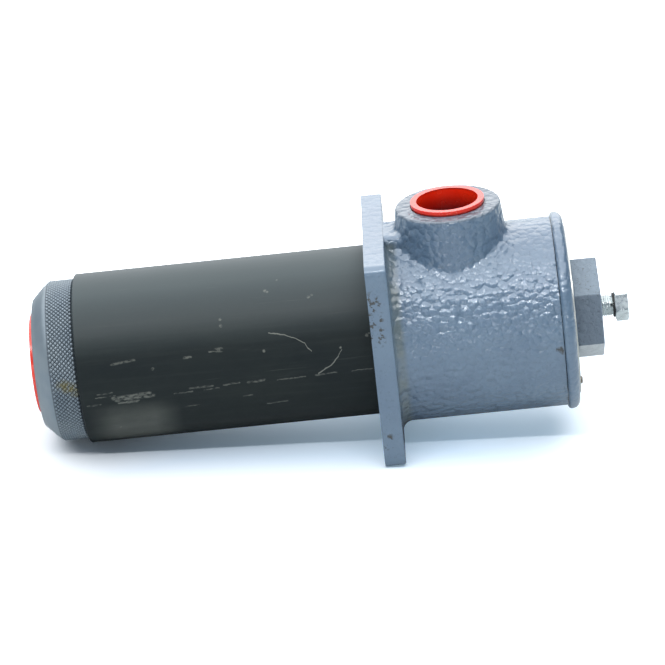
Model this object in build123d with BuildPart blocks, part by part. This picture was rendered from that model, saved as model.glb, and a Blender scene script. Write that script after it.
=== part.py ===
from build123d import *
import os
from math import cos, radians, sin, tan

# Return line filter for the top of a hydraulic tank. A cast head with a square flange carries a steel tube that
# hangs into the tank, a knurled outlet connection closes the tube, and a screwed cover closes the head over the
# element. Millimetres. +X runs along the axis towards the cover, +Z is the inlet port's side, and the origin is
# the centre of the flange's tank-side face.

# ---- driving dimensions ------------------------------------------------------------------------------------
running_fit = 0.05        # radial clearance of threads, pilots and shafts that turn or slide
seat_gap = 0.3            # gap between a piece and the seat it lies on

# cast head
flange_side = 95.0
flange_t = 9.3
flange_corner_r = 4.0
flange_edge_r = 0.8
bolt_spacing = 80.0
bolt_hole_d = 9.0
barrel_r = 42.5           # outside of the head's barrel
head_len = 83.3           # tank face to cover joint
cavity_r = 36.2           # inside of the head around the element
flange_blend = 4.5        # foundry fillet between flange and barrel

# inlet boss, with its saddle to the flange
port_x = 38.8
boss_r = 23.3
boss_rise = 13.85         # port face above the barrel's crown
boss_draft = 6.0          # degrees
boss_blend = 3.0          # foundry fillet at the boss's foot
boss_edge_r = 1.3
inlet_bore_r = 15.145     # minor diameter of a one inch parallel pipe thread
inlet_chamfer = 1.0
port_lead = 0.5           # a port's plain mouth is this much wider in radius than its thread
lead_len = 12.6           # length of the plain mouth, which holds the transport plug
saddle_half = 9.0
saddle_spread = 14.0      # half width where it runs into the boss
saddle_rise = 4.6         # saddle's roof above the barrel's crown
saddle_edge_r = 3.0

# tube
tube_r = 38.05
tube_wall = 3.2
tube_free_len = 130.7     # flange to the tube's free end
tube_socket = 22.0        # depth of the tube in the head
tube_neck = 0.5           # the socketed end is turned down by this much in radius

# outlet connection at the tube's free end
knurl_r = 36.03
knurl_len = 12.0
nose_len = 7.1            # conical nose outside the knurl
nose_r = 28.9
outlet_bore_r = 19.475    # minor diameter of a one and a quarter inch parallel pipe thread
outlet_bore_len = 24.0
outlet_chamfer = 1.2
spigot_len = 16.0

# red transport plugs
plug_wall = 1.3
plug_rim_t = 1.5
plug_lift = 0.55          # the tapered body stops the rim this far above its face
plug_taper = 1.5          # degrees
plug_depth = 12.0
inlet_rim_r = 16.33
outlet_rim_r = 22.3
plug_fit = 0.12           # radial gap of the body's widest ring in the port

# screwed cover
cover_r = 44.3
cover_t = 5.4             # joint face to front face
cover_front_r = 3.6       # cast rounding of the front edge
cover_back_r = 1.6
cover_spigot_r = 35.0
cover_spigot_len = 15.0
cover_cup_r = 30.0
cover_cup_depth = 12.0
hex_flats = 40.0
hex_t = 13.15
hex_corner_r = 1.4
hex_edge_r = 0.6
hex_turn = -6.0           # degrees from +Z towards -Y

# name plate and its drive rivets
plate_r = 37.6
plate_t = 0.7
plate_hole_r = 24.5
rivet_circle_r = 35.0
rivet_turn = 132.0        # degrees from +Z towards -Y
rivet_head_r = 1.7
rivet_head_t = 1.0
rivet_shank_r = 1.0
rivet_shank_len = 3.5

# bleed screw, stored partly unscrewed
bleed_r = 4.864           # one eighth inch parallel pipe thread
bleed_shank_len = 17.0
bleed_out = 5.55          # gap from the hexagon to the seal ring
bleed_flats = 13.0
bleed_head_t = 5.9
bleed_head_turn = 31.5    # degrees from +Z towards -Y
bleed_edge = 0.5
bleed_slot_w = 1.5
bleed_slot_depth = 1.6
bleed_slot_turn = 66.0    # degrees from +Z towards -Y
bleed_seal_t = 1.0
bleed_seal_r = 5.5

# O-rings
ring_d = 2.6

# filter element
media_r = 29.0
media_root_r = 19.0
media_t = 0.9             # thickness of a folded layer
pleats = 44
core_r = 17.6
core_wall = 1.0
core_hole_r = 3.0
core_hole_rows = 7
core_hole_columns = 6
cap_r = 31.0
cap_t = 3.0
cap_lip = 4.0
cap_wall = 1.2
element_top_x = 58.0
element_spigot_r = 17.2
element_spigot_len = 11.0
element_bore_r = 13.0
band_t = 0.5
band_w = 6.0
bands = 3
strap_w = 14.0
strap_t = 1.5
strap_half = 19.0
strap_bend_r = 6.0
strap_foot = 4.0

# bypass valve in the element's top cap
valve_seat_r = 11.0
valve_bore_r = 8.0
valve_seat_lip = 1.0
poppet_r = 9.6
poppet_t = 3.0
stem_r = 2.0
cage_leg_r = 1.2
cage_legs = 4
cage_rim = 0.7            # ring and floor reach this far outside the legs
cage_len = 26.0
cage_floor_t = 2.0
spring_r = 5.2
spring_wire_r = 0.6
spring_turns = 5

# ---- places that follow from them ---------------------------------------------------------------------------
boss_top_z = barrel_r + boss_rise
saddle_top_z = barrel_r + saddle_rise
tube_bore_r = tube_r - tube_wall
neck_r = tube_r - tube_neck
tube_end_x = -tube_free_len
shoulder_x = tube_end_x - seat_gap
knurl_end_x = shoulder_x - knurl_len
nose_end_x = knurl_end_x - nose_len
spigot_end_x = shoulder_x + spigot_len
inlet_lead_r = inlet_bore_r + port_lead
outlet_lead_r = outlet_bore_r + port_lead
outlet_floor_x = nose_end_x + outlet_bore_len
cover_joint_x = head_len + seat_gap
cover_face_x = cover_joint_x + cover_t
hex_end_x = cover_face_x + hex_t
hex_corner_edge_r = hex_flats / 2 / cos(radians(30))
cup_floor_x = cover_joint_x - cover_spigot_len + cover_cup_depth
bottom_cap_x = spigot_end_x + seat_gap
element_seat_r = element_spigot_r + 0.3
bleed_seal_x = hex_end_x + bleed_out
bleed_head_x = bleed_seal_x + bleed_seal_t


def around(turn, radius, x):
    """A point at a turn in degrees from +Z towards -Y."""
    return (x, -radius * sin(radians(turn)), radius * cos(radians(turn)))


def cross_plane(x, turn=0.0):
    """A plane across the axis at x whose own y axis lies at the given turn."""
    return Plane(origin=(x, 0, 0), x_dir=around(turn - 90, 1, 0), z_dir=(1, 0, 0))


def keep(builder, name):
    """Label a finished piece and write it."""
    builder.part.label = name
    export_step(builder.part, f"parts/{name}.step")


os.makedirs("parts", exist_ok=True)


# ---- cast head: barrel, inlet boss and saddle blended together, then the flange -----------------------------
with BuildPart() as flange:
    with BuildSketch(Plane.YZ):
        RectangleRounded(flange_side, flange_side, flange_corner_r)
    extrude(amount=flange_t)
    fillet(flange.faces().sort_by(Axis.X)[-1].edges(), flange_edge_r)

with BuildPart() as filter_head:
    # the barrel runs past the tank face so that its blends end in full surfaces
    with BuildSketch(Plane.YZ.offset(-barrel_r)):
        Circle(barrel_r)
    extrude(amount=barrel_r + head_len)
    with BuildSketch(Plane(origin=(port_x, 0, boss_top_z), z_dir=(0, 0, -1))):
        Circle(boss_r)
    extrude(amount=boss_top_z, taper=-boss_draft)
    with BuildSketch(Plane.XY.offset(barrel_r / 2)):
        with BuildLine():
            Polyline(
                (-flange_t, -saddle_half),
                (-flange_t, saddle_half),
                (port_x - boss_r / 3, saddle_spread),
                (port_x - boss_r / 3, -saddle_spread),
                close=True,
            )
        make_face()
    extrude(amount=saddle_top_z - barrel_r / 2)
    roof = filter_head.edges().filter_by_position(Axis.Z, saddle_top_z - 0.01, saddle_top_z + 0.01)
    fillet([edge for edge in roof.filter_by(GeomType.LINE) if abs(edge.center().Y) > saddle_half / 2], saddle_edge_r)
    creases = (GeomType.BSPLINE, GeomType.BEZIER, GeomType.HYPERBOLA, GeomType.ELLIPSE)
    fillet([edge for edge in filter_head.edges() if edge.geom_type in creases], boss_blend)
    top_ring = filter_head.edges().filter_by(GeomType.CIRCLE).sort_by(Axis.Z)[-1]
    fillet(top_ring, boss_edge_r)
    split(bisect_by=Plane.YZ, keep=Keep.TOP)
    # flange, and the ring of fillet that joins it to the barrel
    add(flange.part)
    with BuildSketch(Plane.XZ):
        with BuildLine():
            Line((flange_t, barrel_r + flange_blend), (flange_t - 1, barrel_r + flange_blend))
            Polyline(
                (flange_t - 1, barrel_r + flange_blend),
                (flange_t - 1, cavity_r + 1),
                (flange_t + flange_blend, cavity_r + 1),
                (flange_t + flange_blend, barrel_r),
            )
            RadiusArc(
                (flange_t + flange_blend, barrel_r),
                (flange_t, barrel_r + flange_blend),
                flange_blend,
            )
        make_face()
    revolve(axis=Axis.X)
    # socket of the tube, cavity round the element, thread bore of the cover
    with BuildSketch(Plane.XZ):
        with BuildLine():
            Polyline(
                (-1, 0),
                (-1, tube_r + seat_gap),
                (0, tube_r + seat_gap),
                (tube_neck + seat_gap, neck_r + running_fit),
                (tube_socket, neck_r + running_fit),
                (tube_socket, cavity_r),
                (cover_joint_x - cover_spigot_len - 4, cavity_r),
                (cover_joint_x - cover_spigot_len - 2.8, cover_spigot_r + running_fit),
                (head_len - 1, cover_spigot_r + running_fit),
                (head_len, cover_spigot_r + running_fit + 1),
                (head_len + 1, cover_spigot_r + running_fit + 1),
                (head_len + 1, 0),
                close=True,
            )
        make_face()
    revolve(axis=Axis.X, mode=Mode.SUBTRACT)
    # threaded inlet port
    with BuildSketch(Plane(origin=(port_x, 0, 0), x_dir=(1, 0, 0), z_dir=(0, -1, 0))):
        with BuildLine():
            Polyline(
                (0, 0),
                (inlet_bore_r, 0),
                (inlet_bore_r, boss_top_z - lead_len - port_lead),
                (inlet_lead_r, boss_top_z - lead_len),
                (inlet_lead_r, boss_top_z - inlet_chamfer),
                (inlet_lead_r + inlet_chamfer, boss_top_z),
                (inlet_lead_r + inlet_chamfer, boss_top_z + 1),
                (0, boss_top_z + 1),
                close=True,
            )
        make_face()
    revolve(axis=Axis((port_x, 0, 0), (0, 0, 1)), mode=Mode.SUBTRACT)
    # four flange bolts
    with BuildSketch(Plane.YZ):
        with GridLocations(bolt_spacing, bolt_spacing, 2, 2):
            Circle(bolt_hole_d / 2)
    extrude(amount=flange_t * 2, mode=Mode.SUBTRACT)
keep(filter_head, "filter_head")

# ---- tube ---------------------------------------------------------------------------------------------------
with BuildPart() as housing_tube:
    with BuildSketch(Plane.YZ.offset(tube_end_x)):
        Circle(tube_r)
        Circle(tube_bore_r, mode=Mode.SUBTRACT)
    extrude(amount=tube_free_len - seat_gap)
    with BuildSketch(Plane.YZ.offset(-seat_gap)):
        Circle(neck_r)
        Circle(tube_bore_r, mode=Mode.SUBTRACT)
    extrude(amount=tube_socket)
    chamfer(housing_tube.edges().filter_by(GeomType.CIRCLE).group_by(Axis.X)[0].sort_by(SortBy.LENGTH)[-1], 0.4)
keep(housing_tube, "housing_tube")

# ---- outlet connection ---------------------------------------------------------------------------------------
ring_groove_x = spigot_end_x - 3 * ring_d / 2
with BuildPart() as end_cap:
    with BuildSketch(Plane.XZ):
        with BuildLine():
            Polyline(
                (nose_end_x, outlet_lead_r + outlet_chamfer),
                (nose_end_x, nose_r),
                (knurl_end_x, knurl_r),
                (shoulder_x, knurl_r),
                (shoulder_x, tube_bore_r - running_fit),
                (ring_groove_x - ring_d, tube_bore_r - running_fit),
                (ring_groove_x - ring_d, tube_bore_r - ring_d * 0.8),
                (ring_groove_x + ring_d * 0.4, tube_bore_r - ring_d * 0.8),
                (ring_groove_x + ring_d * 0.4, tube_bore_r - running_fit),
                (spigot_end_x - 1, tube_bore_r - running_fit),
                (spigot_end_x, tube_bore_r - running_fit - 1),
                (spigot_end_x, element_seat_r + 1.5),
                (spigot_end_x - 1.5, element_seat_r),
                (outlet_floor_x, element_seat_r),
                (outlet_floor_x, outlet_bore_r),
                (nose_end_x + lead_len + port_lead, outlet_bore_r),
                (nose_end_x + lead_len, outlet_lead_r),
                (nose_end_x + outlet_chamfer, outlet_lead_r),
                close=True,
            )
        make_face()
    revolve(axis=Axis.X)
keep(end_cap, "end_cap")


def ring_profile(x, inner_r, outer_r, width):
    """Rounded section of a seated O-ring, from inner to outer radius."""
    with BuildSketch(Plane.XZ) as section:
        with Locations((x, (inner_r + outer_r) / 2)):
            RectangleRounded(width, outer_r - inner_r, min(width, outer_r - inner_r) * 0.42)
    return section.sketch


with BuildPart() as end_cap_seal:
    groove_mid = ring_groove_x - ring_d * 0.3
    add(ring_profile(groove_mid, tube_bore_r - ring_d * 0.8 + 0.05, tube_bore_r - 0.02, ring_d * 1.1))
    revolve(axis=Axis.X)
keep(end_cap_seal, "end_cap_seal")


# ---- transport plugs: thin cups with a flat rim, made along their own port's axis ------------------------------
def plug_cup(plane, mouth_r, rim_r):
    """A tapered cup under a flat rim, standing on its port's face plane with local z pointing out."""
    body_r = mouth_r - plug_fit
    foot_r = body_r - plug_depth * tan(radians(plug_taper))
    with BuildPart() as cup:
        with BuildSketch(Plane.XZ):
            with BuildLine():
                Polyline(
                    (0, -plug_depth),
                    (foot_r - 1, -plug_depth),
                    (foot_r, -plug_depth + 1),
                    (body_r, plug_lift),
                    (rim_r, plug_lift),
                    (rim_r, plug_lift + plug_rim_t),
                    (body_r - plug_wall * 1.4, plug_lift + plug_rim_t),
                    (body_r - plug_wall, plug_lift + plug_rim_t - 0.4),
                    (foot_r - plug_wall, -plug_depth + plug_wall),
                    (0, -plug_depth + plug_wall),
                    close=True,
                )
            make_face()
        revolve(axis=Axis.Z)
    return plane.location * cup.part


with BuildPart() as inlet_plug:
    add(plug_cup(Plane.XY.offset(boss_top_z).shift_origin((port_x, 0, boss_top_z)), inlet_lead_r, inlet_rim_r))
keep(inlet_plug, "inlet_plug")

with BuildPart() as outlet_plug:
    add(plug_cup(Plane(origin=(nose_end_x, 0, 0), z_dir=(-1, 0, 0)), outlet_lead_r, outlet_rim_r))
keep(outlet_plug, "outlet_plug")

# ---- screwed cover ---------------------------------------------------------------------------------------------
seal_x = cover_joint_x - 2.4
with BuildPart() as cover:
    with BuildSketch(Plane.XZ):
        with BuildLine():
            Polyline(
                (cup_floor_x, 0),
                (cup_floor_x, cover_cup_r),
                (cover_joint_x - cover_spigot_len, cover_cup_r),
                (cover_joint_x - cover_spigot_len, cover_spigot_r - 1),
                (cover_joint_x - cover_spigot_len + 1, cover_spigot_r),
                (seal_x - ring_d * 0.65, cover_spigot_r),
                (seal_x - ring_d * 0.65, cover_spigot_r - ring_d * 0.8),
                (seal_x + ring_d * 0.65, cover_spigot_r - ring_d * 0.8),
                (seal_x + ring_d * 0.65, cover_spigot_r),
                (cover_joint_x, cover_spigot_r),
                (cover_joint_x, cover_r),
                (cover_face_x, cover_r),
                (cover_face_x, 0),
                close=True,
            )
        make_face()
    revolve(axis=Axis.X)
    rims = cover.edges().filter_by(GeomType.CIRCLE).filter_by(lambda edge: abs(edge.radius - cover_r) < 0.01)
    fillet(rims.sort_by(Axis.X)[-1], cover_front_r)
    rims = cover.edges().filter_by(GeomType.CIRCLE).filter_by(lambda edge: abs(edge.radius - cover_r) < 0.01)
    fillet(rims.sort_by(Axis.X)[0], cover_back_r)
    # cast hexagon
    with BuildSketch(cross_plane(cover_face_x, hex_turn)):
        RegularPolygon(hex_corner_edge_r, 6, rotation=30)
        fillet(vertices(), hex_corner_r)
    extrude(amount=hex_t)
    fillet(cover.faces().sort_by(Axis.X)[-1].edges(), hex_edge_r)
    # bleed thread through the middle, and blind holes of the two rivets
    with BuildSketch(Plane.YZ.offset(cup_floor_x)):
        Circle(bleed_r + running_fit)
    extrude(amount=hex_end_x - cup_floor_x, mode=Mode.SUBTRACT)
    for side in (0, 180):
        with BuildSketch(Plane(origin=around(rivet_turn + side, rivet_circle_r, cover_face_x), z_dir=(-1, 0, 0))):
            Circle(rivet_shank_r + running_fit)
        extrude(amount=rivet_shank_len + seat_gap, mode=Mode.SUBTRACT)
keep(cover, "cover")

with BuildPart() as cover_seal:
    add(ring_profile(seal_x, cover_spigot_r - ring_d * 0.8 + 0.05, cover_spigot_r + 0.02, ring_d * 1.1))
    revolve(axis=Axis.X)
keep(cover_seal, "cover_seal")

# ---- blank name plate and its rivets ----------------------------------------------------------------------------
with BuildPart() as name_plate:
    with BuildSketch(Plane.YZ.offset(cover_face_x + 0.02)):
        Circle(plate_r)
        Circle(plate_hole_r, mode=Mode.SUBTRACT)
        for side in (0, 180):
            spot = around(rivet_turn + side, rivet_circle_r, 0)
            with Locations((spot[1], spot[2])):
                Circle(rivet_shank_r + running_fit, mode=Mode.SUBTRACT)
    extrude(amount=plate_t)
keep(name_plate, "name_plate")

rivet_seat_x = cover_face_x + plate_t + 0.04
with BuildPart() as plate_rivets:
    for side in (0, 180):
        spot = around(rivet_turn + side, rivet_circle_r, rivet_seat_x)
        with BuildSketch(Plane(origin=spot, z_dir=(1, 0, 0))):
            Circle(rivet_head_r)
        extrude(amount=rivet_head_t)
        with BuildSketch(Plane(origin=spot, z_dir=(-1, 0, 0))):
            Circle(rivet_shank_r)
        extrude(amount=rivet_shank_len)
    fillet(plate_rivets.edges().filter_by(GeomType.CIRCLE).group_by(Axis.X)[-1], rivet_head_t * 0.85)
keep(plate_rivets, "plate_rivets")

# ---- bleed screw with its vent slot and seal ring ----------------------------------------------------------------
bleed_tip_x = bleed_head_x - bleed_shank_len
with BuildPart() as bleed_screw:
    with BuildSketch(Plane.XZ):
        with BuildLine():
            Polyline(
                (bleed_tip_x, 0),
                (bleed_tip_x, bleed_r - 1),
                (bleed_tip_x + 1, bleed_r),
                (bleed_head_x, bleed_r),
                (bleed_head_x, 0),
                close=True,
            )
        make_face()
    revolve(axis=Axis.X)
    with BuildSketch(cross_plane(bleed_head_x, bleed_head_turn)):
        RegularPolygon(bleed_flats / 2 / cos(radians(30)), 6, rotation=30)
    extrude(amount=bleed_head_t)
    # turned chamfer that rounds the corners of the head's two ends
    with BuildSketch(Plane.XZ):
        with BuildLine():
            corner_r = bleed_flats / 2 / cos(radians(30))
            Polyline(
                (bleed_head_x, bleed_flats / 2 - 0.1),
                (bleed_head_x + bleed_edge, corner_r),
                (bleed_head_x + bleed_head_t - bleed_edge, corner_r),
                (bleed_head_x + bleed_head_t, bleed_flats / 2 - 0.1),
                (bleed_head_x + bleed_head_t, 0),
                (bleed_tip_x, 0),
                (bleed_tip_x, bleed_flats / 2 - 0.1),
                close=True,
            )
        make_face()
    revolve(axis=Axis.X, mode=Mode.INTERSECT)
    # slot along the thread that lets the air out when the screw is slackened
    slot_mid = around(bleed_slot_turn, bleed_r, (bleed_tip_x + bleed_seal_x) / 2)
    with BuildSketch(Plane(origin=slot_mid, x_dir=(1, 0, 0), z_dir=around(bleed_slot_turn, 1, 0))):
        Rectangle(bleed_seal_x - bleed_tip_x, bleed_slot_w)
    extrude(amount=-bleed_slot_depth, mode=Mode.SUBTRACT)
keep(bleed_screw, "bleed_screw")

with BuildPart() as bleed_screw_seal:
    ring_mid = bleed_seal_x + bleed_seal_t / 2
    add(ring_profile(ring_mid, bleed_r + 0.03, bleed_seal_r, bleed_seal_t - 0.06))
    revolve(axis=Axis.X)
keep(bleed_screw_seal, "bleed_screw_seal")

# ---- filter element ------------------------------------------------------------------------------------------------
bottom_plate_x = bottom_cap_x + cap_t
top_plate_x = element_top_x - cap_t
media_len = top_plate_x - bottom_plate_x - 0.1
spigot_tip_x = bottom_cap_x - element_spigot_len
element_groove_x = spigot_tip_x + 3.5

with BuildPart() as element_bottom_cap:
    with BuildSketch(Plane.XZ):
        with BuildLine():
            Polyline(
                (spigot_tip_x, element_bore_r),
                (spigot_tip_x, element_spigot_r - 0.8),
                (spigot_tip_x + 0.8, element_spigot_r),
                (element_groove_x - ring_d * 0.65, element_spigot_r),
                (element_groove_x - ring_d * 0.65, element_seat_r - ring_d * 0.85),
                (element_groove_x + ring_d * 0.65, element_seat_r - ring_d * 0.85),
                (element_groove_x + ring_d * 0.65, element_spigot_r),
                (bottom_cap_x, element_spigot_r),
                (bottom_cap_x, cap_r),
                (bottom_plate_x + cap_lip, cap_r),
                (bottom_plate_x + cap_lip, cap_r - cap_wall),
                (bottom_plate_x, cap_r - cap_wall),
                (bottom_plate_x, element_bore_r),
                close=True,
            )
        make_face()
    revolve(axis=Axis.X)
keep(element_bottom_cap, "element_bottom_cap")

with BuildPart() as element_seal:
    add(ring_profile(element_groove_x, element_seat_r - ring_d * 0.85 + 0.05, element_seat_r - 0.02, ring_d * 1.1))
    revolve(axis=Axis.X)
keep(element_seal, "element_seal")

with BuildPart() as element_top_cap:
    with BuildSketch(Plane.XZ):
        with BuildLine():
            Polyline(
                (top_plate_x, valve_seat_r + running_fit),
                (element_top_x, valve_seat_r + running_fit),
                (element_top_x, cap_r - 0.8),
                (element_top_x - 0.8, cap_r),
                (top_plate_x - cap_lip, cap_r),
                (top_plate_x - cap_lip, cap_r - cap_wall),
                (top_plate_x, cap_r - cap_wall),
                close=True,
            )
        make_face()
    revolve(axis=Axis.X)
keep(element_top_cap, "element_top_cap")

# folded paper: one closed zigzag wall
with BuildPart() as pleated_media:
    fold = 360 / pleats
    with BuildSketch(Plane.YZ.offset(bottom_plate_x + 0.05)):
        with BuildLine():
            outer = []
            for number in range(pleats):
                outer.append(around(number * fold, media_r, 0)[1:])
                outer.append(around((number + 0.5) * fold, media_root_r + media_t * 1.6, 0)[1:])
            Polyline(*outer, close=True)
        make_face()
        with BuildLine():
            inner = []
            for number in range(pleats):
                inner.append(around(number * fold, media_r - media_t * 1.6, 0)[1:])
                inner.append(around((number + 0.5) * fold, media_root_r, 0)[1:])
            Polyline(*inner, close=True)
        make_face(mode=Mode.SUBTRACT)
    extrude(amount=media_len)
keep(pleated_media, "pleated_media")

# bands that hold the folds together
with BuildPart() as media_bands:
    for number in range(bands):
        band_x = bottom_plate_x + media_len * (number + 1) / (bands + 1) - band_w / 2
        with BuildSketch(Plane.YZ.offset(band_x)):
            Circle(media_r + 0.1 + band_t)
            Circle(media_r + 0.1, mode=Mode.SUBTRACT)
        extrude(amount=band_w)
keep(media_bands, "media_bands")

# perforated tube that carries the folds from inside
with BuildPart() as core_tube:
    with BuildSketch(Plane.YZ.offset(bottom_plate_x + 0.05)):
        Circle(core_r)
        Circle(core_r - core_wall, mode=Mode.SUBTRACT)
    extrude(amount=media_len)
    row_step = media_len / core_hole_rows
    for row in range(core_hole_rows):
        row_x = bottom_plate_x + row_step * (row + 0.5)
        for column in range(core_hole_columns):
            turn = (column + row % 2 / 2) * 360 / core_hole_columns
            with BuildSketch(Plane(origin=(row_x, 0, 0), x_dir=(1, 0, 0), z_dir=around(turn, 1, 0))):
                Circle(core_hole_r)
            extrude(amount=core_r + 1, mode=Mode.SUBTRACT)
keep(core_tube, "core_tube")

# strap for lifting the element out, bent from strip, with its feet welded to the top cap
strap_top_x = cup_floor_x - seat_gap
strap_foot_x = element_top_x + 0.02
strap_rise = strap_top_x - strap_foot_x
with BuildPart() as lift_strap:
    with BuildSketch(Plane.XY.offset(-strap_w / 2)):
        with Locations((strap_foot_x + strap_rise / 2, 0)):
            Rectangle(strap_rise, strap_half * 2)
        fillet(vertices().group_by(Axis.X)[-1], strap_bend_r)
        with Locations((strap_foot_x + (strap_rise - strap_t) / 2, 0)):
            hollow = RectangleRounded(
                strap_rise - strap_t, (strap_half - strap_t) * 2, strap_bend_r - strap_t, mode=Mode.PRIVATE
            )
            add(hollow, mode=Mode.SUBTRACT)
            Rectangle(strap_rise - strap_t, (strap_half - strap_t) * 2 - strap_bend_r, mode=Mode.SUBTRACT)
        with Locations((strap_foot_x + strap_bend_r / 2, 0)):
            Rectangle(strap_bend_r, (strap_half - strap_t) * 2, mode=Mode.SUBTRACT)
        with Locations(
            (strap_foot_x + strap_t / 2, strap_half + strap_foot / 2),
            (strap_foot_x + strap_t / 2, -strap_half - strap_foot / 2),
        ):
            Rectangle(strap_t, strap_foot + strap_t)
    extrude(amount=strap_w)
keep(lift_strap, "lift_strap")

# ---- bypass valve: seat ring, poppet with stem, cage and spring ------------------------------------------------------
seat_face_x = top_plate_x - valve_seat_lip
cage_floor_x = seat_face_x - cage_len
with BuildPart() as valve_seat:
    with BuildSketch(Plane.XZ):
        with BuildLine():
            Polyline(
                (seat_face_x, valve_bore_r + 0.8),
                (seat_face_x, valve_seat_r),
                (element_top_x + valve_seat_lip, valve_seat_r),
                (element_top_x + valve_seat_lip, valve_bore_r + 1.5),
                (element_top_x + valve_seat_lip - 1.5, valve_bore_r),
                (seat_face_x + 0.8, valve_bore_r),
                close=True,
            )
        make_face()
    revolve(axis=Axis.X)
keep(valve_seat, "valve_seat")

poppet_x = seat_face_x - 0.05
poppet_back_x = poppet_x - poppet_t
with BuildPart() as bypass_poppet:
    with BuildSketch(Plane.XZ):
        with BuildLine():
            Polyline(
                (poppet_x, 0),
                (poppet_x, poppet_r - 0.5),
                (poppet_x - 0.5, poppet_r),
                (poppet_back_x, poppet_r),
                (poppet_back_x, spring_r - spring_wire_r - 0.4),
                (poppet_back_x - 1.5, spring_r - spring_wire_r - 0.6),
                (poppet_back_x - 1.5, stem_r),
                (cage_floor_x - 2 * cage_floor_t, stem_r),
                (cage_floor_x - 2 * cage_floor_t - 0.5, stem_r - 0.5),
                (cage_floor_x - 2 * cage_floor_t - 0.5, 0),
                close=True,
            )
        make_face()
    revolve(axis=Axis.X)
keep(bypass_poppet, "bypass_poppet")

cage_leg_circle = (core_r - core_wall + poppet_r) / 2
with BuildPart() as valve_cage:
    with BuildSketch(Plane.YZ.offset(cage_floor_x - cage_floor_t)):
        Circle(cage_leg_circle + cage_leg_r + cage_rim)
        Circle(stem_r + running_fit, mode=Mode.SUBTRACT)
        with PolarLocations(cage_leg_circle / 2 + 0.8, cage_legs, start_angle=45):
            Circle(stem_r * 1.1, mode=Mode.SUBTRACT)
    extrude(amount=cage_floor_t)
    with BuildSketch(Plane.YZ.offset(cage_floor_x - cage_floor_t / 2)):
        with PolarLocations(cage_leg_circle, cage_legs):
            Circle(cage_leg_r)
    extrude(amount=top_plate_x - 0.05 - cage_floor_x + cage_floor_t / 2)
    with BuildSketch(Plane.YZ.offset(top_plate_x - 0.05)):
        Circle(cage_leg_circle + cage_leg_r + cage_rim)
        Circle(valve_seat_r + 0.1, mode=Mode.SUBTRACT)
    extrude(amount=-cage_floor_t * 0.7)
keep(valve_cage, "valve_cage")

spring_start_x = cage_floor_x + spring_wire_r + 0.1
spring_len = poppet_back_x - spring_start_x - spring_wire_r - 0.1
with BuildPart() as bypass_spring:
    with BuildLine():
        coil = Helix(
            pitch=spring_len / spring_turns,
            height=spring_len,
            radius=spring_r,
            center=(spring_start_x, 0, 0),
            direction=(1, 0, 0),
        )
    with BuildSketch(Plane(origin=coil @ 0, z_dir=coil % 0)):
        Circle(spring_wire_r)
    sweep(path=coil, is_frenet=True)
keep(bypass_spring, "bypass_spring")
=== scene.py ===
from math import cos, pi, radians, sin, tau

import bmesh
import bpy
from mathutils import Matrix, Vector


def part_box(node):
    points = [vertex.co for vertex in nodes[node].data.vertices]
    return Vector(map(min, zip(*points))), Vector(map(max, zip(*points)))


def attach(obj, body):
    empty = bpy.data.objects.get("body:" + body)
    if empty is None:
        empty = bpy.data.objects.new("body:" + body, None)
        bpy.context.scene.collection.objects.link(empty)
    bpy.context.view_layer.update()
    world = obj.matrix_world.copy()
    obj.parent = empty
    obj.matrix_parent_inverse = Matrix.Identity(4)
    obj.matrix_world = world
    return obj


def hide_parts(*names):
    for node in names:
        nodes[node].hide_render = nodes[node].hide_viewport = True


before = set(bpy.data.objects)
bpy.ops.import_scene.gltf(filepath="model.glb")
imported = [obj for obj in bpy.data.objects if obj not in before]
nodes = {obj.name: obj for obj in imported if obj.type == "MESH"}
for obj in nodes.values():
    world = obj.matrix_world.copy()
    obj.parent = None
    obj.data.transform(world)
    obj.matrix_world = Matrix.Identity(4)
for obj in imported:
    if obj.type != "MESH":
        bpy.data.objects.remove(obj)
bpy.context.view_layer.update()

MM = 0.001


# ---- camera --------------------------------------------------------------------------------------

def make_camera():
    """A long lens looking along the housing from slightly above, rolled a little."""
    forward = Vector((-0.03307, 0.92273, -0.38404)).normalized()
    up = Vector((0.10025, 0.38537, 0.9173))
    right = forward.cross(up).normalized()
    up = right.cross(forward).normalized()
    turn = Matrix((right, up, -forward)).transposed().to_4x4()
    camera = bpy.data.cameras.new("camera")
    camera.lens = 193.85
    camera.sensor_width = 36
    camera.clip_start = 0.05
    camera.clip_end = 20
    holder = bpy.data.objects.new("camera", camera)
    holder.matrix_world = Matrix.Translation(Vector((34.96, -1482.2, 617.15)) * MM) @ turn
    bpy.context.collection.objects.link(holder)
    bpy.context.scene.camera = holder


make_camera()


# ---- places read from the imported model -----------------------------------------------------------
HEAD_LOW, HEAD_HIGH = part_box("filter_head")
TUBE_LOW, TUBE_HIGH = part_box("housing_tube")
CAP_LOW, CAP_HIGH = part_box("end_cap")
COVER_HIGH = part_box("cover")[1]
PLATE_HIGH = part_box("name_plate")[1]
BLEED_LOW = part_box("bleed_screw")[0]
SEAL_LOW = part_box("bleed_screw_seal")[0]
INLET_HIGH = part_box("inlet_plug")[1]
OUTLET_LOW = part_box("outlet_plug")[0]

FLANGE_HALF = HEAD_HIGH[1]
FLANGE_T = 9.3 * MM
TUBE_R = TUBE_HIGH[2]
KNURL_R = CAP_HIGH[2]

# length in mm of one degree round each barrel
TUBE_DEGREE = 0.664
HEAD_DEGREE = 0.742
CAP_DEGREE = 0.63


# ---- node helpers --------------------------------------------------------------------------------

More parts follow.
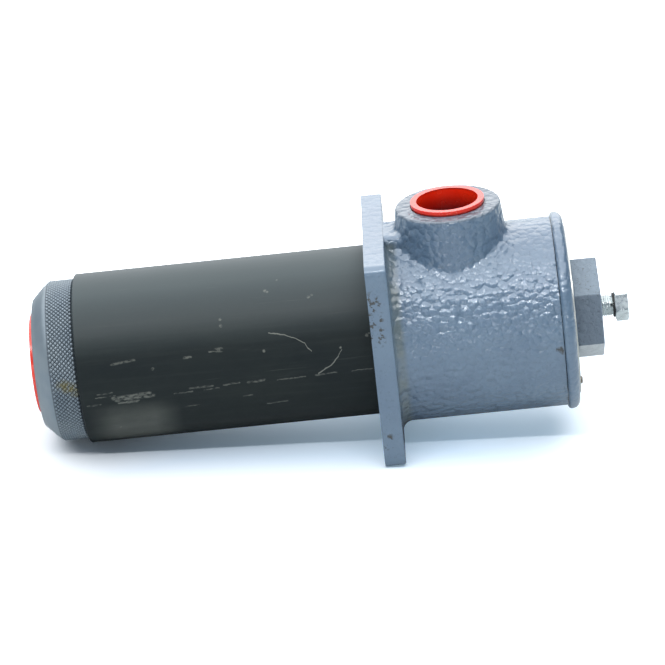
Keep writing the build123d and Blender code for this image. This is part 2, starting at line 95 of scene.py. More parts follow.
class Nodes:
    """A material's node tree, with short calls that add and link nodes."""

    def __init__(self, name):
        self.material = bpy.data.materials.new(name)
        self.material.use_nodes = True
        self.tree = self.material.node_tree
        self.shader = self.tree.nodes["Principled BSDF"]
        self.place = self.tree.nodes.new("ShaderNodeTexCoord").outputs["Object"]

    def add(self, kind, links=None, **settings):
        node = self.tree.nodes.new(kind)
        for key, value in settings.items():
            setattr(node, key, value)
        for key, value in (links or {}).items():
            self.put(node.inputs[key], value)
        return node

    def put(self, socket, value):
        if isinstance(value, bpy.types.NodeSocket):
            self.tree.links.new(value, socket)
        else:
            socket.default_value = value

    def noise(self, scale, detail=4.0, roughness=0.55, stretch=(1, 1, 1), offset=(0, 0, 0)):
        mapped = self.add("ShaderNodeMapping", {"Vector": self.place, "Scale": stretch, "Location": offset})
        sockets = {"Vector": mapped.outputs[0], "Scale": scale, "Detail": detail}
        texture = self.add("ShaderNodeTexNoise", sockets)
        texture.inputs["Roughness"].default_value = roughness
        return texture.outputs["Fac"]

    def cells(self, scale):
        """Distance to the middle of the nearest cell."""
        texture = self.add("ShaderNodeTexVoronoi", {"Vector": self.place, "Scale": scale})
        return texture.outputs["Distance"]

    def span(self, value, low, high, to_low=0.0, to_high=1.0):
        node = self.add("ShaderNodeMapRange", {"Value": value})
        node.inputs["From Min"].default_value = low
        node.inputs["From Max"].default_value = high
        node.inputs["To Min"].default_value = to_low
        node.inputs["To Max"].default_value = to_high
        return node.outputs["Result"]

    def maths(self, operation, first, second=None, clamp=False):
        node = self.add("ShaderNodeMath", operation=operation, use_clamp=clamp)
        self.put(node.inputs[0], first)
        if second is not None:
            self.put(node.inputs[1], second)
        return node.outputs[0]

    def times(self, *values):
        product = values[0]
        for value in values[1:]:
            product = self.maths("MULTIPLY", product, value)
        return product

    def most(self, *values):
        largest = values[0]
        for value in values[1:]:
            largest = self.maths("MAXIMUM", largest, value)
        return largest

    def band(self, value, low, high, soft):
        """1 between low and high, falling to 0 over soft on either side."""
        return self.times(self.span(value, low - soft, low), self.span(value, high + soft, high))

    def blend(self, factor, first, second):
        node = self.add("ShaderNodeMix", data_type="RGBA")
        self.put(node.inputs["Factor"], factor)
        self.put(node.inputs["A"], first)
        self.put(node.inputs["B"], second)
        return node.outputs["Result"]

    def bump(self, height, strength, distance, under=None):
        node = self.add("ShaderNodeBump", {"Height": height, "Strength": strength, "Distance": distance})
        if under is not None:
            self.put(node.inputs["Normal"], under)
        return node.outputs["Normal"]

    def axes(self):
        parts = self.add("ShaderNodeSeparateXYZ", {"Vector": self.place})
        return parts.outputs["X"], parts.outputs["Y"], parts.outputs["Z"]

    def radius(self):
        """Distance from the housing's axis in metres."""
        x, y, z = self.axes()
        return self.maths("SQRT", self.maths("ADD", self.times(y, y), self.times(z, z)))

    def turn_of(self, flat):
        """The turn in degrees of a place on the unrolled barrel."""
        return self.add("ShaderNodeSeparateXYZ", {"Vector": flat}).outputs["Y"]

    def hammered(self):
        """Height of the hammered paint: round dimples with a low swell."""
        dimple = self.cells(330)
        swell = self.times(self.noise(300, detail=2.0), 0.9)
        return self.maths("ADD", self.times(dimple, dimple, -1.0), swell)

    def unrolled(self, waver=0.0, shift=0.0, turned=0.0):
        """Place on the unrolled barrel in mm along the axis and degrees from +Z towards -Y, wavering a little.

        Marks given in this frame move by the shift in mm and by the turned angle in degrees."""
        x, y, z = self.axes()
        turn = self.maths("MULTIPLY", self.maths("ARCTAN2", self.maths("MULTIPLY", y, -1.0), z), 180 / pi)
        along = self.maths("MULTIPLY", x, 1000.0)
        if shift or turned:
            along = self.maths("SUBTRACT", along, shift)
            turn = self.maths("SUBTRACT", turn, turned)
        if waver:
            along = self.maths("ADD", along, self.span(self.noise(300), 0.3, 0.7, -waver, waver))
            sway = self.noise(340, offset=(4, 4, 4))
            turn = self.maths("ADD", turn, self.span(sway, 0.3, 0.7, -waver, waver))
        flat = self.add("ShaderNodeCombineXYZ", {"X": along, "Y": turn})
        return flat.outputs[0]

    def stroke(self, flat, start, end, width, degree):
        """1 on a line between two places on the unrolled barrel, fading to 0 at half the width in mm.

        The degree is the length in mm of one degree round the barrel."""
        square = self.add("ShaderNodeVectorMath", operation="MULTIPLY")
        self.put(square.inputs[0], flat)
        square.inputs[1].default_value = (1, degree, 0)
        first = Vector((start[0], start[1] * degree, 0))
        run = Vector((end[0], end[1] * degree, 0)) - first
        away = self.add("ShaderNodeVectorMath", operation="SUBTRACT")
        self.put(away.inputs[0], square.outputs[0])
        away.inputs[1].default_value = first
        share = self.add("ShaderNodeVectorMath", operation="DOT_PRODUCT")
        self.put(share.inputs[0], away.outputs[0])
        share.inputs[1].default_value = run / max(run.length_squared, 1e-6)
        along = self.maths("ADD", share.outputs["Value"], 0.0, clamp=True)
        foot = self.add("ShaderNodeVectorMath", operation="SCALE")
        foot.inputs[0].default_value = run
        self.put(foot.inputs["Scale"], along)
        gap = self.add("ShaderNodeVectorMath", operation="DISTANCE")
        self.put(gap.inputs[0], away.outputs[0])
        self.put(gap.inputs[1], foot.outputs[0])
        return self.span(gap.outputs["Value"], width / 2, width / 6)

    def finish(self, colour, roughness, normal=None, **sockets):
        self.put(self.shader.inputs["Base Color"], colour)
        self.put(self.shader.inputs["Roughness"], roughness)
        if normal is not None:
            self.put(self.shader.inputs["Normal"], normal)
            self.put(self.shader.inputs["Coat Normal"], normal)
        for key, value in sockets.items():
            self.put(self.shader.inputs[key.replace("_", " ")], value)
        return self.material


def tone(value):
    """An sRGB colour of 0 to 255 as a linear colour with alpha."""
    linear = [((c / 255 + 0.055) / 1.055) ** 2.4 if c > 10 else c / 255 / 12.92 for c in value]
    return (*linear, 1.0)


# ---- finishes ------------------------------------------------------------------------------------

def cast_paint_colour(m, chips):
    """Blue-grey paint with a faint cloud, fine dark grain and chips down to the brownish casting."""
    cloud = m.noise(32, detail=3.0)
    grain = m.noise(620, detail=3.0, roughness=0.7)
    colour = m.blend(m.span(cloud, 0.35, 0.65), tone((82, 104, 126)), tone((92, 114, 134)))
    colour = m.blend(m.span(grain, 0.56, 0.72, 0.0, 0.35), colour, tone((56, 76, 94)))
    return m.blend(chips, colour, tone((48, 50, 50)))


def head_paint():
    """Hammered glossy paint on the cast head, with dull creases, edge chips and pits along the flange."""
    m = Nodes("hammered_head_paint")
    x, y, z = m.axes()
    flat = m.unrolled(1.2)
    # the machined flange faces are flatter than the cast barrel, and the port face is darker and rougher
    cast = m.span(x, FLANGE_T - 0.0006, FLANGE_T + 0.0022, 0.3, 1.0)
    port_face = m.span(z, HEAD_HIGH[2] - 0.0012, HEAD_HIGH[2] - 0.0004)
    lumps = m.hammered()
    broad = m.noise(75, detail=2.0)
    peel = m.noise(1100, detail=2.0)
    height = m.times(m.maths("ADD", lumps, m.times(broad, 1.5)), cast)
    normal = m.bump(height, 1.0, 0.0007)
    normal = m.bump(peel, 0.2, 0.0002, normal)
    # pits along the flange's tank-side edge, a few strays on the barrel and a chip at the cover's end
    front = m.span(y, -FLANGE_HALF + 0.0012, -FLANGE_HALF + 0.0004)
    patch = m.most(m.times(m.band(z, 0.014, 0.034, 0.004), m.band(x, -0.001, 0.0052, 0.0015)),
                   m.times(m.band(z, -0.037, -0.032, 0.002), m.band(x, -0.001, 0.004, 0.001)))
    speck = m.span(m.noise(360, detail=3.0, roughness=0.65, offset=(0, 3, 0)), 0.555, 0.6)
    stray = m.span(m.noise(170, detail=5.0, roughness=0.75, offset=(3, 1, 2)), 0.735, 0.75)
    lip = m.most(m.stroke(flat, (81.4, 90.2), (82.6, 92.4), 3.0, HEAD_DEGREE),
                 m.stroke(flat, (79.6, 90.5), (81.5, 91.5), 1.3, HEAD_DEGREE))
    chips = m.most(m.times(front, patch, speck), stray, lip)
    colour = cast_paint_colour(m, chips)
    # overspray and dirt gathered in the flange's crease
    radius = m.radius()
    crease = m.times(m.band(x, FLANGE_T + 0.0002, FLANGE_T + 0.0034, 0.0022), m.span(radius, 0.0475, 0.0445))
    colour = m.blend(m.times(crease, m.span(m.noise(140), 0.3, 0.7, 0.25, 0.75)), colour, tone((96, 104, 96)))
    colour = m.blend(m.times(port_face, 0.75), colour, tone((84, 94, 104)))
    rough = m.maths("ADD", m.span(peel, 0.3, 0.7, 0.3, 0.4), m.times(port_face, 0.2))
    rough = m.maths("ADD", rough, m.times(chips, 0.3))
    return m.finish(colour, rough, normal, Metallic=0.15, Specular_IOR_Level=0.9,
                    Coat_Weight=0.8, Coat_Roughness=0.06)


def cover_paint():
    """The same paint on the cover's rim, thinner and pitted over the cast hexagon, whose side faces carry
    painted light and shade.
    """
    m = Nodes("pitted_cover_paint")
    x, y, z = m.axes()
    hexagon = m.span(x, PLATE_HIGH[0] + 0.0004, PLATE_HIGH[0] + 0.0012)
    lumps = m.hammered()
    rough_cast = m.noise(900, detail=4.0, roughness=0.7)
    peel = m.noise(1100, detail=2.0)
    pits = m.span(m.noise(760, detail=3.0, roughness=0.75, offset=(2, 5, 1)), 0.58, 0.68)
    stray = m.span(m.noise(150, detail=5.0, roughness=0.7, offset=(1, 7, 4)), 0.73, 0.745)
    chips = m.most(m.times(hexagon, pits, 0.85), stray)
    colour = cast_paint_colour(m, m.times(chips, 0.8))
    pitted = m.blend(m.times(pits, 0.8), tone((122, 136, 148)), tone((70, 76, 82)))
    colour = m.blend(m.times(hexagon, 0.8), colour, pitted)
    # painted light and shade on the hexagon's side faces: those turned between 54 and 114 degrees are painted
    # darker and those turned further round are painted pale, as light fell on them; its front face keeps the
    # plain paint
    turn = m.turn_of(m.unrolled())
    sides = m.times(hexagon, m.span(x, COVER_HIGH[0] - 0.0002, COVER_HIGH[0] - 0.0005))
    shade = m.times(sides, m.band(turn, 54.0, 114.0, 0.4))
    pale = m.times(sides, m.maths("SUBTRACT", 1.0, m.band(turn, -30.0, 114.0, 0.4)))
    colour = m.blend(m.times(shade, 0.45), colour, tone((58, 72, 90)))
    colour = m.blend(m.times(pale, 0.75), colour, tone((196, 200, 200)))
    normal = m.bump(lumps, 1.0, 0.0004)
    normal = m.bump(m.times(rough_cast, hexagon), 0.7, 0.0005, normal)
    normal = m.bump(peel, 0.2, 0.0002, normal)
    rough = m.maths("ADD", m.span(peel, 0.3, 0.7, 0.3, 0.4), m.times(hexagon, 0.22))
    coat = m.span(x, PLATE_HIGH[0] + 0.0004, PLATE_HIGH[0] + 0.0012, 0.8, 0.1)
    return m.finish(colour, rough, normal, Metallic=0.15, Specular_IOR_Level=0.9,
                    Coat_Weight=coat, Coat_Roughness=0.06)


# rub marks on the tube: start and end in mm along the axis and degrees from +Z towards -Y, then width in mm
MARK_SHIFT = 3.0          # all marks lie this far towards the flange, in mm
MARK_TURN = -3.0          # and this much nearer the top, in degrees
ARC_SCRATCHES = (
    ((-47.8, 66.0), (-42.0, 68.0), 0.5), ((-42.0, 68.0), (-36.3, 71.5), 0.45),
    ((-36.3, 71.5), (-32.6, 75.5), 0.4),
    ((-32.6, 75.5), (-30.2, 81.0), 0.35),
    ((-27.8, 97.0), (-22.0, 92.0), 0.6), ((-22.0, 92.0), (-18.5, 86.0), 0.5),
    ((-18.5, 86.0), (-16.6, 82.0), 0.3),
)
LONG_SCRATCHES = (
    ((-85, 98.6), (-75, 98.2), 0.7), ((-70, 98.5), (-63, 98.0), 0.6), ((-59, 98.4), (-52, 97.8), 0.9),
    ((-46, 98.8), (-34, 98.2), 0.5), ((-29, 98.0), (-20, 97.4), 0.6), ((-13, 97.6), (-4, 97.2), 0.4),
    ((-92, 101.5), (-84, 101.0), 0.6), ((-118, 76.5), (-108, 75.0), 0.9), ((-80, 100.6), (-72, 100.4), 0.5),
    ((-126, 96.5), (-119, 96.0), 0.5), ((-127, 99.0), (-118, 98.4), 0.4), ((-131, 104.5), (-125, 104.0), 0.6),
    ((-52, 118.0), (-43, 117.2), 0.6), ((-88, 113.0), (-82, 112.5), 0.5), ((-62, 109.0), (-58, 108.6), 0.5),
)
SCUFFS = (
    ((-119, 100.5), (-103, 99.0), 1.4), ((-118, 102.4), (-101, 101.0), 1.2),
    ((-117, 104.5), (-108, 104.0), 1.0),
    ((-71.5, 74.2), (-69.5, 74.0), 1.6), ((-74.5, 74.6), (-70.5, 74.2), 0.7), ((-86, 77.0), (-83, 76.6), 0.9),
)
DENTS = (
    ((-68.2, 58.2), 1.3), ((-68.6, 53.8), 1.2), ((-48.0, 36.0), 1.4),
    ((-47.0, 37.0), 1.0), ((-29.0, 44.0), 1.3),
    ((-27.6, 43.0), 1.0), ((-100.2, 82.3), 1.1), ((-5.0, 74.0), 1.2),
    ((-4.0, 72.5), 0.8), ((-50.6, 77.8), 1.1),
    ((-42.6, 28.0), 0.9), ((-17.0, 80.4), 1.0), ((-109.5, 138.0), 1.8), ((-118.0, 128.0), 1.6),
)


def dark_tube_steel():
    """Phosphated dark steel with drawn grain, rub marks, scuffs and small dents, and painted light on its
    upper side.
    """
    m = Nodes("dark_tube_steel")
    x, y, z = m.axes()
    flat = m.unrolled(0.35, MARK_SHIFT, MARK_TURN)
    grain = m.noise(420, detail=4.0, stretch=(0.06, 1, 1))
    cloud = m.noise(30, detail=5.0, roughness=0.65, stretch=(0.4, 1, 1))
    colour = m.blend(m.span(cloud, 0.3, 0.7), tone((12, 22, 25)), tone((27, 34, 33)))
    # painted light: the upper side is painted paler, standing for the overhead light's sheen
    turn = m.turn_of(flat)
    painted_top_light = m.span(m.maths("ABSOLUTE", turn), 24.0, 73.0, 0.5, 0.0)
    colour = m.blend(painted_top_light, colour, tone((92, 102, 104)))
    colour = m.blend(m.span(grain, 0.5, 0.8, 0.0, 0.08), colour, tone((74, 78, 74)))
    broken = m.span(m.noise(900, detail=3.0, stretch=(0.5, 1, 1)), 0.36, 0.56)
    arcs = m.most(*[m.stroke(flat, a, b, w * 1.3, TUBE_DEGREE) for a, b, w in ARC_SCRATCHES])
    lines = m.most(*[m.stroke(flat, a, b, w * 1.7, TUBE_DEGREE) for a, b, w in LONG_SCRATCHES])
    lines = m.times(lines, broken)
    scuffs = m.times(m.most(*[m.stroke(flat, a, b, w * 1.6, TUBE_DEGREE) for a, b, w in SCUFFS]), broken)
    dents = m.times(m.most(*[m.stroke(flat, a, a, w * 1.5, TUBE_DEGREE) for a, w in DENTS]), broken)
    pale = m.times(m.band(x, -0.117, -0.099, 0.012), m.band(turn, 118.0, 142.0, 14.0),
                   m.span(cloud, 0.35, 0.6, 0.4, 1.0))
    hairlines = m.noise(800, detail=2.0, stretch=(0.03, 1, 1), offset=(1, 1, 1))
    fine = m.times(m.span(hairlines, 0.68, 0.82), 0.1)
    marks = m.most(m.times(arcs, 0.42), m.times(lines, 0.22), m.times(scuffs, 0.3), m.times(dents, 0.36),
                   m.times(pale, 0.22))
    colour = m.blend(m.maths("MAXIMUM", marks, fine), colour, tone((150, 152, 142)))
    rough = m.maths("ADD", m.span(cloud, 0.3, 0.7, 0.44, 0.52), m.times(marks, 0.15))
    normal = m.bump(grain, 0.12, 0.0002)
    return m.finish(colour, rough, normal, Specular_IOR_Level=0.24)


def knurled_aluminium():
    """Satin metal of the outlet connection: turning rings, painted shade in the knurl's valleys and an oily
    stain.
    """
    m = Nodes("knurled_aluminium")
    x, y, z = m.axes()
    flat = m.unrolled(0.6)
    rings = m.noise(1400, detail=2.0, stretch=(1, 0.02, 0.02))
    cloud = m.noise(60, detail=4.0)
    colour = m.blend(m.span(cloud, 0.3, 0.7), tone((112, 124, 134)), tone((132, 142, 148)))
    radius = m.radius()
    knurled = m.band(x, CAP_LOW[0] + 0.0072, TUBE_LOW[0] - 0.0001, 0.0002)
    knurled = m.times(knurled, m.span(radius, 0.035, 0.0353))
    # painted shade: the knurl's valleys and the lower flanks of its diamonds are painted darker
    painted_valley_shade = m.times(knurled, m.span(radius, KNURL_R - 0.00012, KNURL_R - 0.00042))
    colour = m.blend(m.times(painted_valley_shade, 0.55), colour, tone((34, 42, 52)))
    stain = m.stroke(flat, (-137.5, 86.0), (-132.5, 90.5), 7.5, CAP_DEGREE)
    stain = m.times(stain, m.span(m.noise(500), 0.33, 0.55))
    colour = m.blend(m.times(stain, 0.75), colour, tone((112, 104, 60)))
    normal = m.bump(rings, 0.25, 0.0002)
    return m.finish(colour, m.span(cloud, 0.3, 0.7, 0.34, 0.44), normal, Metallic=0.45)


def red_plug_plastic():
    """Soft red moulded polyethylene, painted dark red deeper in to stand for the shade inside each plug's cup.
    """
    m = Nodes("red_plug_plastic")
    cloud = m.noise(90, detail=2.0)
    colour = m.blend(m.span(cloud, 0.3, 0.7), tone((236, 38, 10)), tone((244, 50, 16)))
    x, y, z = m.axes()
    # painted shade: each plug is painted dark red the further in it goes, standing for the shade inside its
    # cup; this darkens the plug's outer wall too
    painted_cup_shade = m.most(m.times(m.span(z, INLET_HIGH[2] - 0.001, INLET_HIGH[2] - 0.010), m.span(x, 0.0, 0.001)),
                  m.times(m.span(x, OUTLET_LOW[0] + 0.001, OUTLET_LOW[0] + 0.010), m.span(x, -0.1, -0.11)))
    colour = m.blend(painted_cup_shade, colour, tone((96, 2, 4)))
    normal = m.bump(m.noise(420, detail=2.0), 0.12, 0.0003)
    normal = m.bump(m.noise(1600, detail=2.0), 0.1, 0.0001, normal)
    return m.finish(colour, m.span(cloud, 0.3, 0.7, 0.22, 0.3), normal, Specular_IOR_Level=0.8,
                    Coat_Weight=0.4, Coat_Roughness=0.2)


def plain_metal(name, colour, roughness):
    """Plated or bare metal with faint marks."""
    m = Nodes(name)
    marks = m.noise(420)
    shade = m.blend(m.span(marks, 0.35, 0.65), tone([c * 0.9 for c in colour]), tone(colour))
    return m.finish(shade, m.span(marks, 0.3, 0.7, roughness, roughness + 0.12), m.bump(marks, 0.08, 0.0002),
                    Metallic=0.9)


def black_rubber():
    """Matt black rubber of the sealing rings."""
    m = Nodes("black_rubber")
    marks = m.noise(800, detail=2.0)
    return m.finish(m.blend(marks, tone((18, 18, 19)), tone((34, 34, 35))), 0.55, m.bump(marks, 0.1, 0.0002))


def filter_paper():
    """Resin-bound fibre paper."""
    m = Nodes("filter_paper")
    fibres = m.noise(1500, detail=5.0, roughness=0.7)
    colour = m.blend(fibres, tone((186, 168, 126)), tone((214, 198, 158)))
    return m.finish(colour, 0.85, m.bump(fibres, 0.3, 0.0003))


def dress(material, *names):
    """Give CAD nodes a finish."""
    for name in names:
        mesh = nodes[name].data
        mesh.materials.clear()
        mesh.materials.append(material)


zinc = plain_metal("bright_zinc", (226, 232, 232), 0.22)
bare_steel = plain_metal("bare_steel", (150, 140, 126), 0.35)
plate_metal = plain_metal("rolled_aluminium", (214, 214, 208), 0.3)
rubber = black_rubber()
knurl_metal = knurled_aluminium()
red_plastic = red_plug_plastic()
dress(head_paint(), "filter_head")
dress(cover_paint(), "cover")
dress(dark_tube_steel(), "housing_tube")
dress(knurl_metal, "end_cap")
dress(red_plastic, "inlet_plug", "outlet_plug")
dress(plate_metal, "name_plate", "media_bands", "bypass_poppet")
dress(bare_steel, "plate_rivets", "valve_seat", "bypass_spring")
dress(zinc, "bleed_screw", "element_bottom_cap", "element_top_cap", "core_tube", "lift_strap", "valve_cage")
dress(rubber, "bleed_screw_seal", "cover_seal", "end_cap_seal", "element_seal")
dress(filter_paper(), "pleated_media")


# ---- new pieces ----------------------------------------------------------------------------------

def piece(name, mesh, material, body, replaced):
    """A finished piece at the origin that moves with a body and stands for a CAD node."""
    made = bpy.data.objects.new(name, mesh)
    bpy.context.collection.objects.link(made)
    mesh.materials.clear()
    mesh.materials.append(material)
    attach(made, body)
    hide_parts(replaced)


def merged_copy(node):
    """The CAD node's mesh as an editable copy with its doubled corners joined."""
    copy = bmesh.new()
    copy.from_mesh(nodes[node].data)
    bmesh.ops.remove_doubles(copy, verts=copy.verts, dist=1e-6)
    return copy


def reach(vert):
    """A corner's distance from the housing's axis."""
    return (vert.co.y ** 2 + vert.co.z ** 2) ** 0.5


def turned_down(copy, radius, root):
    """Move the corners that lie at a radius in to the root, and return them."""
    edge = [v for v in copy.verts if abs(reach(v) - radius) < 0.05 * MM]
    for v in edge:
        share = root / reach(v)
        v.co.y *= share
        v.co.z *= share
    return edge


SHARP_ANGLE = radians(30)


def shade_by_angle(mesh):
    """Smooth shading with sharp edges where faces meet at more than the sharp angle."""
    mesh.polygons.foreach_set("use_smooth", [True] * len(mesh.polygons))
    mesh.set_sharp_from_angle(angle=SHARP_ANGLE)


DIAMOND_TOP = 0.42        # width of a diamond's flat top over that of its foot
DIAMOND_FILL = 0.97       # width of a diamond over its pitch
KNURL_DEPTH = 0.55 * MM
KNURL_ROUND = 108         # diamonds in one turn
KNURL_ROWS = 6            # whole diamonds along the knurl


def diamond_mesh(width, length, depth):
    """One raised diamond: four sloping sides and a flat top, its x along the housing and z outwards."""
    rim = [(length / 2, 0), (0, width / 2), (-length / 2, 0), (0, -width / 2)]
    verts = [(x, y, 0.0) for x, y in rim] + [(x * DIAMOND_TOP, y * DIAMOND_TOP, depth) for x, y in rim]
    faces = [(i, (i + 1) % 4, 4 + (i + 1) % 4, 4 + i) for i in range(4)] + [(4, 5, 6, 7)]
    mesh = bpy.data.meshes.new("knurl_diamond")
    mesh.from_pydata(verts, [], faces)
    return mesh


def knurl_tree(material):
    """Geometry Nodes that set a diamond on every point, standing outwards round the housing's axis."""
    tree = bpy.data.node_groups.new("knurl_diamonds", "GeometryNodeTree")
    tree.interface.new_socket("Points", in_out="INPUT", socket_type="NodeSocketGeometry")
    tree.interface.new_socket("Diamond", in_out="INPUT", socket_type="NodeSocketObject")
    tree.interface.new_socket("Size", in_out="INPUT", socket_type="NodeSocketFloat")
    tree.interface.new_socket("Knurl", in_out="OUTPUT", socket_type="NodeSocketGeometry")
    add = tree.nodes.new
    link = tree.links.new
    given = add("NodeGroupInput")
    result = add("NodeGroupOutput")
    source = add("GeometryNodeObjectInfo")
    place = add("GeometryNodeInputPosition")
    outwards = add("ShaderNodeVectorMath")
    outwards.operation = "MULTIPLY"
    outwards.inputs[1].default_value = (0, 1, 1)
    turned = add("FunctionNodeAlignRotationToVector")
    turned.axis = "Z"
    turned.pivot_axis = "X"
    spread = add("GeometryNodeInstanceOnPoints")
    real = add("GeometryNodeRealizeInstances")
    painted = add("GeometryNodeSetMaterial")
    painted.inputs["Material"].default_value = material
    link(given.outputs["Diamond"], source.inputs["Object"])
    link(place.outputs["Position"], outwards.inputs[0])
    link(outwards.outputs[0], turned.inputs["Vector"])
    link(given.outputs["Points"], spread.inputs["Points"])
    link(source.outputs["Geometry"], spread.inputs["Instance"])
    link(turned.outputs["Rotation"], spread.inputs["Rotation"])
    link(given.outputs["Size"], spread.inputs["Scale"])
    link(spread.outputs["Instances"], real.inputs["Geometry"])
    link(real.outputs["Geometry"], painted.inputs["Geometry"])
    link(painted.outputs["Geometry"], result.inputs["Knurl"])
    return tree


def grown(name, tree, base, settings):
    """The mesh that a Geometry Nodes tree makes on a base mesh, its inputs set by name."""
    holder = bpy.data.objects.new(name, base)
    bpy.context.collection.objects.link(holder)
    modifier = holder.modifiers.new(name, "NODES")
    modifier.node_group = tree
    for item in tree.interface.items_tree:
        if item.name in settings:
            modifier[item.identifier] = settings[item.name]
    bpy.context.view_layer.update()
    evaluated = holder.evaluated_get(bpy.context.evaluated_depsgraph_get())
    mesh = bpy.data.meshes.new_from_object(evaluated)
    bpy.data.objects.remove(holder)
    mesh.name = name
    return mesh


def make_end_cap():
    """The outlet connection with its knurl cut as real diamonds below the stock's surface."""
    copy = merged_copy("end_cap")
    root = KNURL_R - KNURL_DEPTH
    edge = turned_down(copy, KNURL_R, root)
    start = min(v.co.x for v in edge)
    end = max(v.co.x for v in edge)
    cap_mesh = bpy.data.meshes.new("end_cap_body")
    copy.to_mesh(cap_mesh)
    copy.free()
    length = (end - start) / KNURL_ROWS
    width = tau * KNURL_R / KNURL_ROUND
    points = []
    for row in range(2 * KNURL_ROWS - 1):
        for step in range(KNURL_ROUND):
            turn = tau * (step + row % 2 / 2) / KNURL_ROUND
            points.append((start + length * (row + 1) / 2, -root * sin(turn), root * cos(turn)))
    base = bpy.data.meshes.new("knurl_points")
    base.from_pydata(points, [], [])
    diamond = diamond_mesh(width * DIAMOND_FILL, length * DIAMOND_FILL, KNURL_DEPTH)
    seed = bpy.data.objects.new("knurl_diamond", diamond)
    bpy.context.collection.objects.link(seed)
    knurl = grown("knurl", knurl_tree(knurl_metal), base, {"Diamond": seed, "Size": 1.0})
    bpy.data.objects.remove(seed)
    both = bmesh.new()
    both.from_mesh(cap_mesh)
    both.from_mesh(knurl)
    mesh = bpy.data.meshes.new("knurled_end_cap")
    both.to_mesh(mesh)
    both.free()
    shade_by_angle(mesh)
    piece("knurled_end_cap", mesh, knurl_metal, "outlet_end", "end_cap")


THREAD_PITCH = 0.907 * MM
THREAD_R = 4.864 * MM
THREAD_DEPTH = 0.5 * MM
TURN_STEPS = 40           # sections in one turn of the thread
RUN_OUT_STEPS = 12        # sections over which the thread fades in and out


def make_bleed_screw():
    """The bleed screw with a real thread helix on its shank."""
    copy = merged_copy("bleed_screw")
    root = THREAD_R - THREAD_DEPTH
    turned_down(copy, THREAD_R, root)
    start = BLEED_LOW[0] + THREAD_PITCH
    end = SEAL_LOW[0] - THREAD_PITCH * 0.7
    steps = int((end - start) / THREAD_PITCH * TURN_STEPS)
    section = ((-0.5, -0.1), (-0.1, 1.0), (0.1, 1.0), (0.5, -0.1))
    rows = []
    for step in range(steps + 1):
        turn = tau * step / TURN_STEPS
        x = start + THREAD_PITCH * step / TURN_STEPS
        fade = min(1.0, step / RUN_OUT_STEPS, (steps - step) / RUN_OUT_STEPS)
        ring = []
        for along, out in section:
            r = root + THREAD_DEPTH * (out * fade if out > 0 else out)
            ring.append(copy.verts.new((x + along * THREAD_PITCH, -r * sin(turn), r * cos(turn))))
        rows.append(ring)
    for first, second in zip(rows, rows[1:]):
        for k in range(4):
            copy.faces.new((first[k], first[(k + 1) % 4], second[(k + 1) % 4], second[k]))
    copy.faces.new(rows[0][::-1])
    copy.faces.new(rows[-1])
    bmesh.ops.recalc_face_normals(copy, faces=copy.faces)
    mesh = bpy.data.meshes.new("threaded_bleed_screw")
    copy.to_mesh(mesh)
    copy.free()
    shade_by_angle(mesh)
    piece("threaded_bleed_screw", mesh, zinc, "bleed", "bleed_screw")


make_end_cap()
make_bleed_screw()


# ---- floor and studio light ----------------------------------------------------------------------

def floor_frame():
    """The plane that the flange's lower edge and the tube's free end rest on, as origin, along and up."""
    contact = Vector((0, 0, HEAD_LOW[2]))
    tube_end = Vector((TUBE_LOW[0], 0, -TUBE_R))
    along = (contact - tube_end).normalized()
    across = Vector((0, 1, 0))
    return contact, along, across, along.cross(across).normalized()


FLOOR_HALF = 6.0
FLOOR_GAP = 0.1 * MM


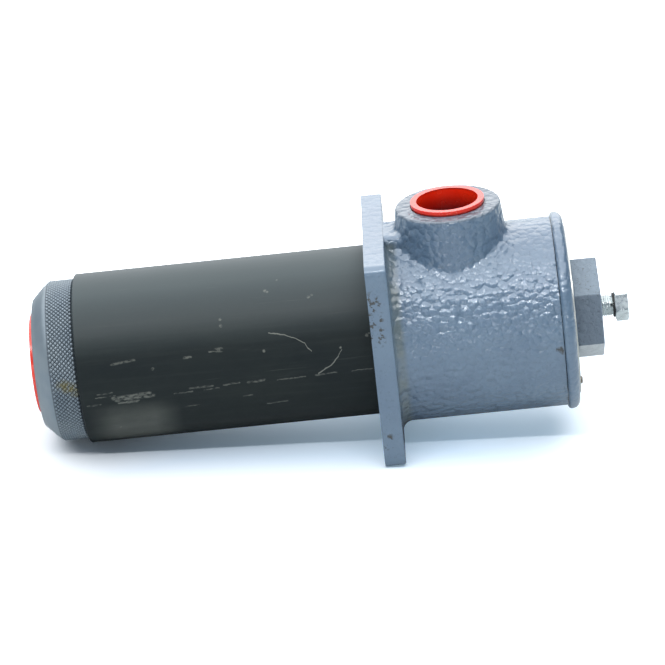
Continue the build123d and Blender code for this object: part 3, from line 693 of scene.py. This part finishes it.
def make_floor():
    """A wide pale sheet on the resting plane; away from the object it is plain white to the camera, while near
    it painted shade tints it blue and a painted glow lightens its shadow.
    """
    contact, along, across, up = floor_frame()
    mesh = bpy.data.meshes.new("floor")
    corners = ((-1, -1), (1, -1), (1, 1), (-1, 1))
    spots = [contact + along * FLOOR_HALF * a + across * FLOOR_HALF * b - up * FLOOR_GAP for a, b in corners]
    mesh.from_pydata(spots, [], [(0, 1, 2, 3)])
    sheet = bpy.data.objects.new("floor", mesh)
    bpy.context.collection.objects.link(sheet)
    m = Nodes("floor_white")
    x, y, z = m.axes()
    # distance from the housing's middle, counted half along its length
    lengthwise = m.maths("MULTIPLY", m.maths("ABSOLUTE", m.maths("ADD", x, 0.03)), 0.5)
    side = m.maths("MAXIMUM", m.maths("ABSOLUTE", y), lengthwise)
    far = m.span(side, 0.07, 0.17, 0.0, 1.0)
    # painted light: near the object the sheet glows a faint blue to the camera, more strongly towards the
    # head's end, lightening and tinting the shadow there
    painted_shadow_glow = m.span(x, -0.12, 0.04, 0.02, 0.32)
    path = m.add("ShaderNodeLightPath")
    m.put(m.shader.inputs["Emission Color"], m.blend(far, (0.55, 0.8, 1.0, 1), (1, 1, 1, 1)))
    glow = m.times(m.maths("MAXIMUM", far, painted_shadow_glow), path.outputs["Is Camera Ray"])
    m.put(m.shader.inputs["Emission Strength"], glow)
    # painted shade: right round the object the sheet is painted a darker blue. Reflections see the sheet as a
    # grey card, so that it adds no light to the object
    painted_shade_sheet = m.blend(m.span(side, 0.03, 0.055), tone((226, 238, 251)), tone((246, 249, 252)))
    sheet_colour = m.blend(path.outputs["Is Glossy Ray"], painted_shade_sheet, (0.5, 0.54, 0.55, 1))
    m.finish(sheet_colour, 0.6, Specular_IOR_Level=0.2)
    mesh.materials.append(m.material)


def area_light(name, place, target, size, radiance):
    """A soft rectangular lamp aimed at a point, its strength given as the brightness of its face."""
    lamp = bpy.data.lights.new(name, "AREA")
    lamp.shape = "RECTANGLE"
    lamp.size, lamp.size_y = size
    lamp.energy = radiance * size[0] * size[1] * pi
    holder = bpy.data.objects.new(name, lamp)
    holder.location = place
    holder.rotation_euler = (Vector(target) - Vector(place)).to_track_quat("-Z", "Y").to_euler()
    bpy.context.collection.objects.link(holder)


def make_world():
    """White to the camera, dim and bluish to everything else."""
    world = bpy.data.worlds.new("studio")
    bpy.context.scene.world = world
    world.use_nodes = True
    tree = world.node_tree
    room = tree.nodes["Background"]
    room.inputs["Color"].default_value = (0.62, 0.8, 1.0, 1)
    room.inputs["Strength"].default_value = 0.3
    white = tree.nodes.new("ShaderNodeBackground")
    white.inputs["Color"].default_value = (1, 1, 1, 1)
    path = tree.nodes.new("ShaderNodeLightPath")
    mix = tree.nodes.new("ShaderNodeMixShader")
    tree.links.new(path.outputs["Is Camera Ray"], mix.inputs[0])
    tree.links.new(room.outputs[0], mix.inputs[1])
    tree.links.new(white.outputs[0], mix.inputs[2])
    tree.links.new(mix.outputs[0], tree.nodes["World Output"].inputs["Surface"])


make_floor()
make_world()
area_light("overhead_panel", (-0.03, 1.05, 0.8), (-0.03, 1.05, 0), (2.4, 3.1), 1.9)
area_light("back_panel", (-0.03, 2.65, 0.3), (-0.03, 0, 0), (2.4, 1.0), 1.5)
area_light("window_strip", (-0.03, -0.54, 0.8), (0, 0, 0), (1.1, 0.022), 60.0)
area_light("low_strip", (-0.03, -0.9, 0.215), (0, 0, 0), (0.9, 0.014), 26.0)
bpy.context.scene.view_settings.view_transform = "Standard"
